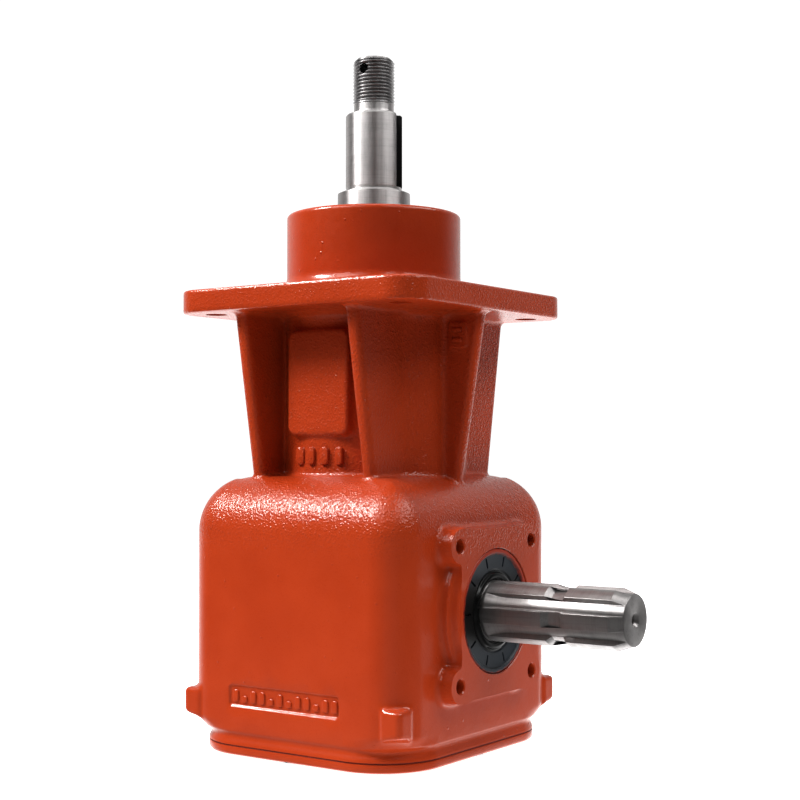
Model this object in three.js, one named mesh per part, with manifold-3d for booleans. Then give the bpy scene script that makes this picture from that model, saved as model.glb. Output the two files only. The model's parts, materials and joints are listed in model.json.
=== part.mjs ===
// Right angle bevel gearbox: cast case, splined input shaft, vertical output shaft.
// Units are millimetres. +Z is up, +X is the input shaft, and the output axis is x = y = 0.
// The underside of the base cover lies on z = 0.
import * as THREE from "three";
import { mergeVertices } from "three/addons/utils/BufferGeometryUtils.js";
import Module from "manifold-3d";

const wasm = await Module();
wasm.setup();

const GAP = 0.3; // between neighbouring pieces
const FIT = 0.1; // radial gap of a seat
const SIDES = 24; // of a turned inner piece
const FINE = 36; // of a turned outer piece
const MERGE = 0.02; // edges shorter than this are dropped
const INPUT_Z = 84; // height of the input axis

// case
const COVER = { top: 5.2, corner: 38 };
const GASKET = { bottom: 5.3, top: 6, inset: 0.3 };
const CASE = { hx: 78.75, hy: 84.4, bottom: 6.1, top: 161.4, corner: 22, roll: 33, band: 12 };
const CAVITY = { hx: 70, hy: 76, top: 152.4, corner: 16, roll: 25 };
const SUMP = { hx: 66, hy: 72, top: 20, corner: 30 };
const LUG = { back: 15, low: 11.5, mid: 21.5, top: 36, reach: 113.4, foot: 99.6, inner: 88 };
const PAD = { face: 88.6, half: 48.3, waist: 38, hole: 38.9, ear: 9.6, holeR: 4.1, depth: 15 };
const BOSS = { r: 45, face: 82.5, nose: 40, root: 72, inner: 52, innerR: 44 };
const NECK = { r: 54.5, bottom: 148, panelHalf: 22, panelY: 56.5, panelLow: 185.6, panelHigh: 247 };
const RIB = { low: 156, high: 259, pairIn: 36.5, pairOut: 45, y0: 62, y1: 79, x0: 64, x1: 80, half: 4.5 };
const FLANGE = { half: 87.6, corner: 19, bottom: 258.4, top: 272.2, hole: 68, holeR: 6.6 };
const HUB = { r: 53.3, top: 320.4, edge: 2.2 };
const PLATE = { x0: -43, x1: 40, z0: 28.5, z1: 41, deep: 1.1, mark: 0.9 };
const TAG = { x0: 58, x1: 71, z0: 237, z1: 252, tall: 1 };
const PLUG = { boss: 15, face: 87.2, r: 9.5, depth: 10, hex: 4.6, levelZ: 84, fillZ: 40, x: 38 };

// cover screws: six-side socket, countersunk
const SCREW = { head: 5.6, shank: 2.8, headZ: 0.3, coneZ: 3.4, tip: 19, hex: 2.2 };
const SCREWS = [
  [61.6, 67.2],
  [-61.6, 67.2],
  [-61.6, -67.2],
  [61.6, -67.2],
  [72.3, 0],
  [-72.3, 0],
  [0, 78],
  [0, -78],
];

// input line
const INPUT_BEARING = { bore: 17.6, outer: 36, width: 17, ball: 5.55, front: 56, rear: -73 };
const INPUT_BORE = 36.1;
const INPUT_RING = { width: 2, inner: 31, outer: 37.6, groove: 38 };
const INPUT_SEAL = { x0: 76, x1: 87.1, outer: 35.8, lip: 17.8, dish: 1, slots: 10, turn: -18 };
const INPUT_SHAFT = { rear: -73.5, end: 176.5, seat: 17.5, body: 21, gear: 19, shoulder: 21.7 };
const SPLINE = { start: 88.8, outer: 17.46, minor: 14.5, land: 8.69, lands: 6, turn: 4 };
const LOCK = { centre: 133.2, wide: 6, narrow: 3.6, r: 14.6, chamfer: 8, tip: 14.3, drill: 2.6 };

// output line
const OUTPUT_BEARING = { bore: 22.6, outer: 42.5, width: 19, ball: 6.35, low: 158, high: 284 };
const OUTPUT_BORE = { seat: 42.6, neck: 39, low: 177.3, high: 283.7 };
const OUTPUT_RING = { z: 303.4, width: 2, inner: 37, outer: 44.2, groove: 44.6 };
const OUTPUT_SEAL = { z0: 309, z1: 319, outer: 42.3, lip: 22.8 };
const OUTPUT_SHAFT = { end: 115.5, gear: 19, seat: 22.5, shoulder: 151.7, collar: 336, top: 418 };
const STUB = { r: 17.5, top: 383.2, neck: 11.4, thread: 12.7, root: 11.6, pitch: 2.117 };
const STUB_THREAD = { low: 390.2, turns: 12, plain: 415.6, holeZ: 410.4, holeR: 3 };
const STUB_KEY = { width: 10, low: 338, high: 390, floor: 12.8, turn: 15 };

// bevel gears, sized on the back cone
const MODULE = 5;
const INPUT_TEETH = 22;
const OUTPUT_TEETH = 15;
const FACE = 20;
const TOOTH = { tip: 4.4, root: 6.2, halfPitch: 3.45, halfTip: 1.65, halfRoot: 5.45 };
const KEY = { half: 5, slack: 0.15, rise: 3, sink: 5 };

const PAINT = { color: 0xb8401f, roughness: 0.42, metalness: 0.05 };
const STEEL = { color: 0xb5b2ae, roughness: 0.32, metalness: 1 };
const GEAR_STEEL = { color: 0x7f7e7c, roughness: 0.4, metalness: 1 };
const BEARING_STEEL = { color: 0xc4c5c7, roughness: 0.2, metalness: 1 };
const BLACK_STEEL = { color: 0x2b2b2d, roughness: 0.45, metalness: 0.8 };
const RUBBER = { color: 0x26272b, roughness: 0.6, metalness: 0 };
const PAPER = { color: 0x3a3028, roughness: 0.9, metalness: 0 };

const rad = THREE.MathUtils.degToRad;
const basis = (...axes) => new THREE.Matrix4().makeBasis(...axes.map((axis) => new THREE.Vector3(...axis)));
const ALONG_X = basis([0, 1, 0], [0, 0, 1], [1, 0, 0]);
const ALONG_Y = basis([-1, 0, 0], [0, 0, 1], [0, 1, 0]);

// A closed three.js geometry as a manifold solid.
function solid(geometry) {
  const bare = geometry.clone();
  bare.deleteAttribute("normal");
  bare.deleteAttribute("uv");
  const merged = mergeVertices(bare, 1e-4);
  const vertProperties = new Float32Array(merged.attributes.position.array);
  const triVerts = new Uint32Array(merged.index.array);
  return new wasm.Manifold(new wasm.Mesh({ numProp: 3, vertProperties, triVerts }));
}

const joined = (parts) => parts.reduce((sum, part) => sum.add(part));

function box(x0, x1, y0, y1, z0, z1) {
  const g = new THREE.BoxGeometry(x1 - x0, y1 - y0, z1 - z0);
  return solid(g.translate((x0 + x1) / 2, (y0 + y1) / 2, (z0 + z1) / 2));
}

// A 2D outline pushed along its own normal, then turned by a matrix.
function prism(shape, from, to, turn = null, curve = 8) {
  const options = { depth: to - from, bevelEnabled: false, curveSegments: curve };
  const g = new THREE.ExtrudeGeometry(shape, options);
  g.translate(0, 0, from);
  return solid(turn ? g.applyMatrix4(turn) : g);
}

function outline(points) {
  return new THREE.Shape(points.map(([x, y]) => new THREE.Vector2(x, y)));
}

function roundRect(x0, x1, y0, y1, r) {
  const s = new THREE.Shape();
  s.moveTo(x0 + r, y0);
  s.lineTo(x1 - r, y0).absarc(x1 - r, y0 + r, r, -Math.PI / 2, 0);
  s.lineTo(x1, y1 - r).absarc(x1 - r, y1 - r, r, 0, Math.PI / 2);
  s.lineTo(x0 + r, y1).absarc(x0 + r, y1 - r, r, Math.PI / 2, Math.PI);
  s.lineTo(x0, y0 + r).absarc(x0 + r, y0 + r, r, Math.PI, 1.5 * Math.PI);
  return s;
}

// An arch: square feet, rounded shoulders.
function arch(half, z0, z1, r) {
  const s = new THREE.Shape();
  s.moveTo(-half, z0);
  s.lineTo(half, z0).lineTo(half, z1 - r);
  s.absarc(half - r, z1 - r, r, 0, Math.PI / 2);
  s.lineTo(r - half, z1).absarc(r - half, z1 - r, r, Math.PI / 2, Math.PI);
  return s;
}

// A block with rounded upright corners and a rolled top edge.
function rolledBlock({ hx, hy, top, corner, roll }, bottom, curve) {
  return prism(roundRect(-hx, hx, -hy, hy, corner), bottom, top, null, curve)
    .intersect(prism(arch(hy, bottom, top, roll), -hx, hx, ALONG_X, curve))
    .intersect(prism(arch(hx, bottom, top, roll), -hy, hy, ALONG_Y, curve));
}

// A turned piece about Z: [radius, height] pairs, counted up the outside.
function turned(profile, sides = SIDES) {
  const ring = profile[0][0] > 0 || profile.at(-1)[0] > 0;
  const closed = ring ? [...profile, profile[0]] : profile;
  const points = closed.map(([r, h]) => new THREE.Vector2(r, h));
  return solid(new THREE.LatheGeometry(points, sides).rotateX(Math.PI / 2));
}

// The same piece laid along the input axis.
function onInput(piece) {
  return piece.rotate([0, 90, 0]).translate([0, 0, INPUT_Z]);
}

const turnedInput = (profile, sides) => onInput(turned(profile, sides));
const disc = (r, z0, z1, sides = SIDES) => turned([[0, z0], [r, z0], [r, z1], [0, z1]], sides);
const washer = (r0, r1, z0, z1, sides = SIDES) =>
  turned([[r0, z0], [r1, z0], [r1, z1], [r0, z1]], sides);

function corners(make) {
  return [[1, 1], [-1, 1], [-1, -1], [1, -1]].map(([sx, sy]) => make(sx, sy));
}

// Square filler on one upright corner of the box, tapered below.
function lug(sx, sy) {
  const { hx, hy } = CASE;
  const x = [sx * hx, sx * (hx - LUG.back)].sort((a, b) => a - b);
  const y = [sy * hy, sy * (hy - LUG.back)].sort((a, b) => a - b);
  const profile = outline([
    [LUG.inner, LUG.low],
    [LUG.foot, LUG.low],
    [LUG.reach, LUG.mid],
    [LUG.reach, LUG.top],
    [LUG.inner, LUG.top],
  ]);
  const wedge = prism(profile, -hx, hx, ALONG_X);
  const angle = THREE.MathUtils.radToDeg(Math.atan2(-sx, sy));
  return wedge.rotate([0, 0, angle]).intersect(box(...x, ...y, LUG.low, LUG.top));
}

// Square bearing pad with round ears and a waist between them.
function padOutline() {
  const { half, waist, hole, ear } = PAD;
  const s = new THREE.Shape();
  const turn = Math.PI / 2;
  s.moveTo(waist, hole - ear - 3);
  s.lineTo(hole, hole - ear).absarc(hole, hole, ear, -turn, turn);
  s.lineTo(-hole, half).absarc(-hole, hole, ear, turn, 3 * turn);
  s.lineTo(-waist, hole - ear - 3).lineTo(-waist, ear + 3 - hole);
  s.lineTo(-hole, ear - hole).absarc(-hole, -hole, ear, turn, 3 * turn);
  s.lineTo(hole, -half).absarc(hole, -hole, ear, -turn, turn);
  s.lineTo(waist, ear + 3 - hole);
  return s;
}

function bearingPad() {
  const pad = prism(padOutline(), CAVITY.hx + 1, PAD.face, ALONG_X, 5).translate([0, 0, INPUT_Z]);
  const { r, face, nose, root: foot } = BOSS;
  const tip = PAD.face - 0.6;
  const round = [[0, foot], [r, foot], [r, face - 3], [r - 3, face], [nose, tip], [0, tip]];
  return pad.add(turnedInput(round));
}

const mirrorX = (piece) => piece.mirror([1, 0, 0]);

function ribs() {
  const { low, high, pairIn, pairOut, y0, y1, x0, x1, half } = RIB;
  const side = outline([[20, low], [y0, low], [y1, high], [20, high]]);
  const front = outline([[30, low], [x0, low], [x1, high], [30, high]]);
  const one = prism(side, pairIn, pairOut, ALONG_X);
  const pair = one.add(mirrorX(one));
  const end = prism(front, -half, half, ALONG_Y);
  return [pair, pair.mirror([0, 1, 0]), end, mirrorX(end)];
}

function tappedHole(y, z) {
  const { face, depth, holeR } = PAD;
  return disc(holeR, face - depth, face + 1, 12).rotate([0, 90, 0]).translate([0, y, z + INPUT_Z]);
}

function padHoles() {
  const set = joined(corners((sx, sy) => tappedHole(sx * PAD.hole, sy * PAD.hole)));
  return set.add(mirrorX(set));
}

function inputBore() {
  const { face } = PAD;
  const { groove, width } = INPUT_RING;
  const ringX = INPUT_BEARING.front + INPUT_BEARING.width + GAP;
  const ringEnd = ringX + width + 0.4;
  const seats = disc(INPUT_BORE, 0, ringX).add(disc(groove, ringX - 0.2, ringEnd));
  const rim = [[INPUT_BORE, face - 0.6], [INPUT_BORE + 1, face + 0.4], [0, face + 0.4]];
  const mouth = turned([[0, ringX], [INPUT_BORE, ringX], ...rim], FINE);
  const half = onInput(seats.add(mouth));
  return half.add(mirrorX(half));
}

function outputBore() {
  const { seat, neck, low, high } = OUTPUT_BORE;
  const { z, width, groove } = OUTPUT_RING;
  const bottom = CAVITY.top - 12;
  const ringTop = z + width + 0.4;
  const top = HUB.top + 0.2;
  const profile = [[0, bottom], [seat, bottom], [seat, low], [neck, low], [neck, high], [seat, high]];
  const ring = [[seat, z - 0.2], [groove, z - 0.2], [groove, ringTop], [0, ringTop]];
  const mouth = [[0, z], [seat, z], [seat, top - 1.2], [seat + 1.2, top], [0, top]];
  return turned([...profile, ...ring]).add(turned(mouth, FINE));
}

// Sunken casting plate with plain raised bars.
function markPlate() {
  const { x0, x1, z0, z1, deep } = PLATE;
  const sunk = prism(roundRect(x0, x1, z0, z1, 3), CASE.hy - deep, CASE.hy + 1, ALONG_Y, 3);
  return sunk.rotate([0, 0, 180]);
}

function markBars() {
  const { x0, z0, z1, deep, mark } = PLATE;
  const y = -(CASE.hy - deep);
  const count = 12;
  const step = 6.4;
  return Array.from({ length: count }, (_, i) => {
    const x = x0 + 4.6 + i * step;
    const high = i % 3 === 1 ? z0 + 7 : z1 - 3;
    return box(x, x + 3, y - mark, y + 1, z0 + 3, high);
  });
}

// Plain raised pips under the neck panel.
function neckPips() {
  const spots = [-15, -5.5, 4, 13.5];
  return spots.map((x, i) => box(x, x + (i % 2 ? 4 : 6), -NECK.r - 0.9, -40, 167.5, 179));
}

function plugBoss(z) {
  return disc(PLUG.boss, 78, PLUG.face, 20).rotate([-90, 0, 0]).translate([-PLUG.x, 0, z]);
}

function plugHole(z) {
  const hole = disc(PLUG.r + GAP, PLUG.face - PLUG.depth - GAP, PLUG.face + 1, 20);
  const oilway = disc(PLUG.r - 2, 60, PLUG.face, 20);
  return hole.add(oilway).rotate([-90, 0, 0]).translate([-PLUG.x, 0, z]);
}

const sumpOutline = () => roundRect(-SUMP.hx, SUMP.hx, -SUMP.hy, SUMP.hy, SUMP.corner);

function caseShell() {
  const { hx, hy, bottom, band, corner } = CASE;
  const low = roundRect(-hx, hx, -hy, hy, COVER.corner);
  const base = prism(low, bottom, LUG.mid, null, 4);
  const shell = base.add(rolledBlock(CASE, band + 2, 4).subtract(box(-99, 99, -99, 99, 0, LUG.mid - 0.5)));
  const hollow = prism(sumpOutline(), 0, SUMP.top + 1, null, 3).add(rolledBlock(CAVITY, SUMP.top, 2));
  const face = bearingPad();
  const plugs = [PLUG.levelZ, PLUG.fillZ].map(plugBoss);
  const outside = joined([shell, ...corners(lug), face, mirrorX(face), ...plugs]);
  const boss = onInput(disc(BOSS.innerR, BOSS.inner, BOSS.root));
  const above = box(-99, 99, -99, 99, bottom, 200);
  return outside.subtract(hollow).add(boss).add(mirrorX(boss)).intersect(above);
}

function flangePlate() {
  const { half, corner, bottom, top, hole, holeR } = FLANGE;
  const plate = prism(roundRect(-half, half, -half, half, corner), bottom, top, null, 5);
  const drill = disc(holeR, bottom - 8, top + 8, 16);
  return plate.subtract(joined(corners((sx, sy) => drill.translate([sx * hole, sy * hole, 0]))));
}

function neckAndFlange() {
  const { panelHalf, panelY, panelLow, panelHigh } = NECK;
  const { r, top, edge } = HUB;
  const middle = FLANGE.bottom + 3.6;
  const tube = disc(NECK.r, NECK.bottom, middle, FINE);
  const hub = turned([[0, middle], [r, middle], [r, top - edge], [r - edge, top], [0, top]], FINE);
  const sheet = roundRect(-panelHalf, panelHalf, panelLow, panelHigh, 4);
  const panel = prism(sheet, 30, panelY, ALONG_Y, 3).rotate([0, 0, 180]);
  const tag = box(TAG.x0, TAG.x1, -RIB.half - TAG.tall, 0, TAG.z0, TAG.z1);
  return joined([flangePlate(), tube, hub, panel, tag, ...ribs(), ...neckPips()]);
}

function housing() {
  const under = box(-99, 99, -99, 99, 100, NECK.bottom + 0.5);
  const cast = caseShell().add(neckAndFlange().subtract(under));
  const ports = [PLUG.levelZ, PLUG.fillZ].map(plugHole);
  const cuts = [inputBore(), outputBore(), padHoles(), markPlate(), ...ports];
  const drill = disc(SCREW.shank + 0.25, 5, SCREW.tip + 1, 10);
  const screwHoles = SCREWS.map(([x, y]) => drill.translate([x, y, 0]));
  return cast.subtract(joined(cuts)).subtract(joined(screwHoles)).add(joined(markBars()));
}

function baseCover() {
  const { hx, hy } = CASE;
  const plate = prism(roundRect(-hx, hx, -hy, hy, COVER.corner), 0, COVER.top, null, 4);
  const wide = SCREW.head + 0.5;
  const narrow = SCREW.shank + 0.4;
  const sink = turned([[0, -1], [wide, -1], [wide, 0.4], [narrow, narrow], [narrow, 7], [0, 7]], 10);
  return plate.subtract(joined(SCREWS.map(([x, y]) => sink.translate([x, y, 0]))));
}

function gasket() {
  const hx = CASE.hx - GASKET.inset;
  const hy = CASE.hy - GASKET.inset;
  const sheet = roundRect(-hx, hx, -hy, hy, COVER.corner);
  const outer = prism(sheet, GASKET.bottom, GASKET.top, null, 4);
  const inner = prism(sumpOutline(), 0, 9, null, 3);
  const holes = SCREWS.map(([x, y]) => disc(SCREW.shank + 0.4, 0, 9, 10).translate([x, y, 0]));
  return outer.subtract(inner).subtract(joined(holes));
}

function coverScrew([x, y]) {
  const { head, shank, headZ, coneZ, tip, hex } = SCREW;
  const cone = [[0, headZ], [head, headZ], [shank, coneZ]];
  const body = turned([...cone, [shank, tip - 1], [shank - 1, tip], [0, tip]], 10);
  return body.subtract(disc(hex, -1, headZ + 1.8, 6)).translate([x, y, 0]);
}

function plug(z) {
  const { r, face, depth, hex, x } = PLUG;
  const low = face - depth;
  const top = face - 0.6;
  const body = turned([[0, low], [r - 1, low], [r, low + 1], [r, top], [0, top]], 20);
  return body.subtract(disc(hex, face - 6, face + 1, 6)).rotate([-90, 0, 0]).translate([-x, 0, z]);
}

// A bevel gear with its apex at the origin and its axis on +Z.
function bevelGear(teeth, mates, { back, hubR, boreR, front, phase }) {
  const cone = Math.atan2(teeth, mates);
  const outer = (MODULE / 2) * Math.hypot(teeth, mates);
  const at = (along, across) => [
    along * Math.sin(cone) + across * Math.cos(cone),
    along * Math.cos(cone) - across * Math.sin(cone),
  ];
  const inner = outer - FACE;
  const shrink = inner / outer;
  const { tip, root } = TOOTH;
  const rimOut = at(outer, tip);
  const rimIn = at(inner, tip * shrink);
  const heelOut = at(outer, -root - 3);
  const toe = at(inner, -root * shrink - 1);
  const nose = [[0, front], [toe[0], Math.max(front, toe[1])]];
  const blank = [...nose, rimIn, rimOut, heelOut, [hubR, heelOut[1]], [hubR, back], [0, back]];
  const reach = [front - 1, Math.max(heelOut[1], rimOut[1]) + 2];
  const zone = toothedCone(teeth, outer, at, reach, phase);
  const hub = disc(hubR, heelOut[1] - 6, back);
  return turned(blank, 2 * teeth).intersect(zone).add(hub).subtract(disc(boreR, front - 5, back + 5));
}

// All the teeth as one outline, drawn out from the apex.
function toothedCone(teeth, outer, at, [z0, z1], phase) {
  const { tip, root, halfPitch, halfTip, halfRoot } = TOOTH;
  const row = [[-root, halfRoot], [0, halfPitch], [tip + 0.5, halfTip]].map(([across, half]) => {
    const [r, z] = at(outer, across);
    return { slope: r / z, angle: half / r };
  });
  const rising = row.map((p) => [p.slope, -p.angle]);
  const falling = row.toReversed().map((p) => [p.slope, p.angle]);
  const turns = Array.from({ length: teeth }, (_, i) => (2 * Math.PI * i) / teeth + phase);
  const points = turns.flatMap((turn) =>
    [...rising, ...falling].map(([slope, angle]) => [
      slope * Math.cos(turn + angle),
      slope * Math.sin(turn + angle),
    ]),
  );
  const g = new THREE.ExtrudeGeometry(outline(points), { depth: 1, bevelEnabled: false });
  const p = g.attributes.position;
  for (let i = 0; i < p.count; i++) {
    const z = z0 + p.getZ(i) * (z1 - z0);
    p.setXYZ(i, p.getX(i) * z, p.getY(i) * z, z);
  }
  return solid(g);
}

function keyway(seat, from, to, slack = 0) {
  const half = KEY.half + slack;
  return box(seat - KEY.sink - slack, seat + KEY.rise + slack, -half, half, from - slack, to + slack);
}

function outputPinion() {
  const sizes = { back: 67.4, hubR: 28, boreR: OUTPUT_SHAFT.gear + FIT, front: 35.6, phase: 0 };
  const gear = bevelGear(OUTPUT_TEETH, INPUT_TEETH, sizes);
  return gear.subtract(keyway(OUTPUT_SHAFT.gear, 30, 70, GAP)).translate([0, 0, INPUT_Z]);
}

function inputGear() {
  const phase = Math.PI / INPUT_TEETH;
  const sizes = { back: 49.4, hubR: 32, boreR: INPUT_SHAFT.gear + FIT, front: 22, phase };
  const gear = bevelGear(INPUT_TEETH, OUTPUT_TEETH, sizes);
  return onInput(gear.subtract(keyway(INPUT_SHAFT.gear, 20, 51, GAP)));
}

// Splined stub: outline of the lands, cut to the turned envelope.
function splineStub() {
  const { start, outer, minor, land, lands, turn } = SPLINE;
  const { centre, wide, narrow, r, chamfer, tip } = LOCK;
  const { end } = INPUT_SHAFT;
  const s = new THREE.Shape();
  for (let i = 0; i < lands; i++) {
    const mid = (2 * Math.PI * i) / lands + rad(turn);
    const top = Math.asin(land / 2 / outer);
    const foot = Math.asin(land / 2 / minor);
    const next = mid + (2 * Math.PI) / lands;
    s[i ? "lineTo" : "moveTo"](outer * Math.cos(mid - top), outer * Math.sin(mid - top));
    s.absarc(0, 0, outer, mid - top, mid + top);
    s.lineTo(minor * Math.cos(mid + foot), minor * Math.sin(mid + foot));
    s.absarc(0, 0, minor, mid + foot, next - foot);
  }
  const envelope = turnedInput([
    [0, start - 1],
    [outer + 1, start - 1],
    [outer + 1, centre - wide],
    [r, centre - narrow],
    [r, centre + narrow],
    [outer + 1, centre + wide],
    [outer + 1, end - chamfer],
    [tip, end],
    [0, end],
  ]);
  const lands3d = prism(s, start - 1, end, ALONG_X, 4).translate([0, 0, INPUT_Z]);
  return lands3d.intersect(envelope);
}

function inputShaft() {
  const { rear, seat, body, gear, shoulder, end } = INPUT_SHAFT;
  const front = INPUT_BEARING.front - GAP;
  const back = INPUT_BEARING.rear + INPUT_BEARING.width + GAP;
  const plain = turnedInput([
    [0, rear],
    [seat - 1, rear],
    [seat, rear + 1],
    [seat, back],
    [body, back],
    [body, shoulder],
    [gear, shoulder],
    [gear, front - 6],
    [seat, front - 6],
    [seat, SPLINE.start],
    [SPLINE.minor - 0.2, SPLINE.start + 3],
    [0, SPLINE.start + 3],
  ]);
  const { drill } = LOCK;
  const mouth = end + 0.2;
  const hole = [[0, end - 9], [drill, end - 7], [drill, end - 1.4], [drill + 1.6, mouth], [0, mouth]];
  const slot = onInput(keyway(gear, 24, 46, GAP / 2));
  return plain.add(splineStub()).subtract(turnedInput(hole, 12)).subtract(slot);
}

function key(seat, from, to) {
  const half = KEY.half - KEY.slack;
  return box(seat - KEY.sink + KEY.slack, seat + KEY.rise, -half, half, from, to);
}

function bearingRing(spec, at, inside) {
  const { bore, outer, width, ball } = spec;
  const pitch = (bore + outer) / 2;
  const side = inside ? -1 : 1;
  const lip = pitch + side * ball * 0.62;
  const groove = ball * 1.11;
  const edge = Math.acos((ball * 0.62) / groove);
  const mid = at + width / 2;
  const track = [-edge, -edge / 3, edge / 3, edge].map((angle) => [
    pitch + side * groove * Math.cos(angle),
    mid + groove * Math.sin(angle),
  ]);
  const wall = inside ? bore : outer;
  const up = [[lip, at], ...track, [lip, at + width]];
  const back = [[wall, at + width], [wall, at]];
  return inside ? turned([...up, ...back]) : turned([...back.toReversed(), ...up.toReversed()]);
}

function ballSet(spec, at) {
  const { bore, outer, width, ball } = spec;
  const pitch = (bore + outer) / 2;
  const mid = at + width / 2;
  const cage = washer(pitch - 1.6, pitch + 1.6, mid - 2, mid + 2, 18);
  const count = 6;
  const one = solid(new THREE.SphereGeometry(ball, 6, 4)).translate([pitch, 0, mid]);
  const balls = Array.from({ length: count }, (_, i) => one.rotate([0, 0, (360 * i) / count]));
  return joined([cage, ...balls]);
}

// Sprung ring with its gap.
function snapRing(r0, r1, z0, z1, gapHalf) {
  return washer(r0, r1, z0, z1).subtract(box(0, r1 + 1, -gapHalf, gapHalf, z0 - 1, z1 + 1));
}

function inputSeal() {
  const { x0, x1, outer, lip, dish, slots, turn } = INPUT_SEAL;
  const ring = turned([
    [outer - 3, x0],
    [outer, x0],
    [outer, x1 - 0.6],
    [outer - 0.6, x1],
    [24, x1],
    [23, x1 - dish],
    [21.6, x1 - dish],
    [21, x1 + 0.8],
    [lip, x1 + 0.8],
    [lip, x1 - 2],
    [lip + 3, x1 - 4],
    [outer - 3, x1 - 4],
  ], FINE);
  const slot = box(-32, -26, -0.65, 0.65, x1 - 1.2, x1 + 1);
  const cuts = Array.from({ length: slots }, (_, i) => slot.rotate([0, 0, turn + (360 * i) / slots]));
  return onInput(ring.subtract(joined(cuts)));
}

function outputSeal() {
  const { z0, z1, outer, lip } = OUTPUT_SEAL;
  return turned([
    [outer - 3, z0],
    [outer, z0],
    [outer, z1],
    [27, z1],
    [lip, z1 - 1],
    [lip, z1 - 4],
    [outer - 3, z1 - 5],
  ], FINE);
}

function rearCap() {
  const { outer } = INPUT_SEAL;
  const wall = outer - 2.5;
  const cup = [[wall, 77], [outer, 77], [outer, 86], [0, 86], [0, 83], [wall, 83]];
  return mirrorX(turnedInput(cup, FINE));
}

function threadProfile() {
  const { thread, root, pitch } = STUB;
  const { low, turns } = STUB_THREAD;
  return Array.from({ length: turns }, (_, i) => low + i * pitch).flatMap((z) => [
    [thread, z],
    [root, z + pitch / 2],
  ]);
}

// The journals and the pinion seat, up to the snap ring.
function outputJournals() {
  const { end, gear, seat, shoulder } = OUTPUT_SHAFT;
  const { z, width } = OUTPUT_RING;
  const ringTop = z + width + 0.2;
  const lower = [[0, end], [gear - 1, end], [gear, end + 1], [gear, 117.3]];
  const clip = [[gear - 1.6, 117.3], [gear - 1.6, 119.5], [gear, 119.5]];
  const middle = [[gear, shoulder], [seat, shoulder], [seat, z - 0.1], [seat - 1.4, z - 0.1]];
  const upper = [[seat - 1.4, ringTop], [seat, ringTop], [seat, ringTop + 0.8], [0, ringTop + 0.8]];
  return turned([...lower, ...clip, ...middle, ...upper]);
}

// The collar, the keyed stub, the neck and the thread.
function outputStub() {
  const { seat, collar, top } = OUTPUT_SHAFT;
  const { r, neck, thread } = STUB;
  const start = OUTPUT_RING.z + OUTPUT_RING.width + 0.2;
  const nose = [[0, start], [seat, start], [seat, collar - 2.2], [seat - 2.2, collar], [r, collar]];
  const shoulder = [[r, STUB.top - 1.6], [r - 2.4, STUB.top], [neck, STUB.top]];
  const tip = [[thread, STUB_THREAD.plain + 0.8], [thread - 1.8, top], [0, top]];
  const foot = [[neck, STUB_THREAD.low - 1.2]];
  return turned([...nose, ...shoulder, ...foot, ...threadProfile(), ...tip], FINE - 8);
}

function outputShaft() {
  const { width, low, high, floor, turn } = STUB_KEY;
  const hole = disc(STUB_THREAD.holeR, -20, 20, 16).rotate([90, 0, 4]).translate([0, 0, STUB_THREAD.holeZ]);
  const slot = box(floor, 30, -width / 2, width / 2, low, high).rotate([0, 0, turn]);
  const gearSlot = keyway(OUTPUT_SHAFT.gear, 124, 148, GAP / 2);
  return outputJournals().add(outputStub()).subtract(hole).subtract(slot).subtract(gearSlot);
}

const root = new THREE.Group();
root.name = "right_angle_gearbox";

function put(name, piece, look) {
  const { vertProperties, triVerts } = piece.asOriginal().simplify(MERGE).getMesh();
  const g = new THREE.BufferGeometry();
  g.setAttribute("position", new THREE.BufferAttribute(vertProperties, 3));
  g.setIndex(new THREE.BufferAttribute(triVerts, 1));
  g.computeVertexNormals();
  const mesh = new THREE.Mesh(g, new THREE.MeshStandardMaterial(look));
  mesh.name = name;
  root.add(mesh);
}

function putBearing(name, spec, at, place) {
  put(`${name}_outer_ring`, place(bearingRing(spec, at, false)), BEARING_STEEL);
  put(`${name}_inner_ring`, place(bearingRing(spec, at, true)), BEARING_STEEL);
  put(`${name}_balls`, place(ballSet(spec, at)), BEARING_STEEL);
}

put("housing", housing(), PAINT);
put("base_cover", baseCover(), PAINT);
put("cover_gasket", gasket(), PAPER);
SCREWS.forEach((spot, i) => put(`cover_screw_${i + 1}`, coverScrew(spot), BLACK_STEEL));
put("oil_filler_plug", plug(PLUG.fillZ), BLACK_STEEL);
put("oil_level_plug", plug(PLUG.levelZ), BLACK_STEEL);

const ringX = INPUT_BEARING.front + INPUT_BEARING.width + GAP;
const inputRing = onInput(snapRing(INPUT_RING.inner, INPUT_RING.outer, ringX, ringX + INPUT_RING.width, 9));
const { front } = INPUT_BEARING;
put("input_shaft", inputShaft(), STEEL);
put("input_gear", inputGear(), GEAR_STEEL);
put("input_key", onInput(key(INPUT_SHAFT.gear, 24, 46)), STEEL);
put("input_spacer", onInput(washer(INPUT_SHAFT.gear + FIT, 24, front - 5.6, front - GAP)), STEEL);
putBearing("input_front_bearing", INPUT_BEARING, front, onInput);
putBearing("input_rear_bearing", INPUT_BEARING, INPUT_BEARING.rear, onInput);
put("input_front_snap_ring", inputRing, BLACK_STEEL);
put("input_rear_snap_ring", mirrorX(inputRing), BLACK_STEEL);
put("input_seal", inputSeal(), RUBBER);
put("input_end_cap", rearCap(), RUBBER);

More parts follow.
